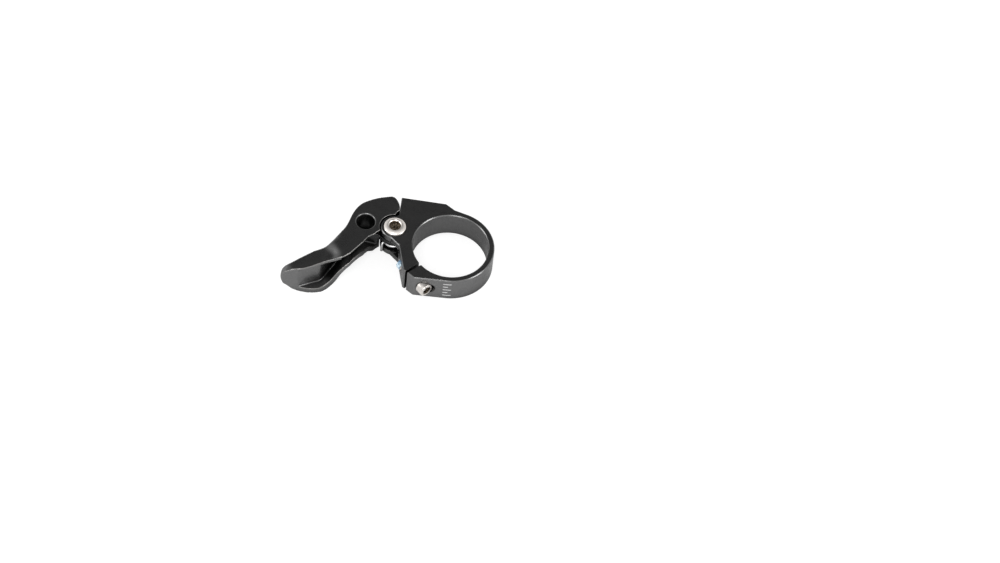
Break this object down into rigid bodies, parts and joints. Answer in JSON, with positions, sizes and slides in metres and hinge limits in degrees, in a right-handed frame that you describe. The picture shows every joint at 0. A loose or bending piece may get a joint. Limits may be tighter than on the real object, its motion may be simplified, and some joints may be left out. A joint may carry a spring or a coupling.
{
  "type": "dropper post remote lever",
  "caption": "Hinged thumb lever that pulls a cable to work a dropper seatpost, sprung back to its stop, on a split bar clamp with one screw.",
  "frame": {"origin": "on the axis of the bar bore, at the middle of the clamp's width", "axes": "+Z along the handlebar, +X from the lever towards the ring, +Y away from the paddle's hollow side"},
  "size_m": [0.0605, 0.0307, 0.0137],
  "materials": {
    "black_alloy": "black anodised, satin",
    "screw_steel": "bright stainless",
    "spring_steel": "bright wire",
    "bush_plastic": "matt"
  },
  "bodies": {
    "clamp": {"clamp_body": "black_alloy", "clamp_screw": "screw_steel", "pivot_bolt": "screw_steel", "return_spring": "spring_steel"},
    "lever_arm": {"lever": "black_alloy", "upper_bush": "bush_plastic", "lower_bush": "bush_plastic"}
  },
  "joints": [
    {"name": "lever_pivot", "type": "hinge", "parent": "clamp", "child": "lever_arm", "pos_m": [-0.0169, 0.0043, 0], "axis": [0, 0, 1], "range_deg": [0, 30], "stiffness_Nm_per_rad": 0.1, "springref_deg": -28.65, "deforming": ["return_spring"]}
  ]
}
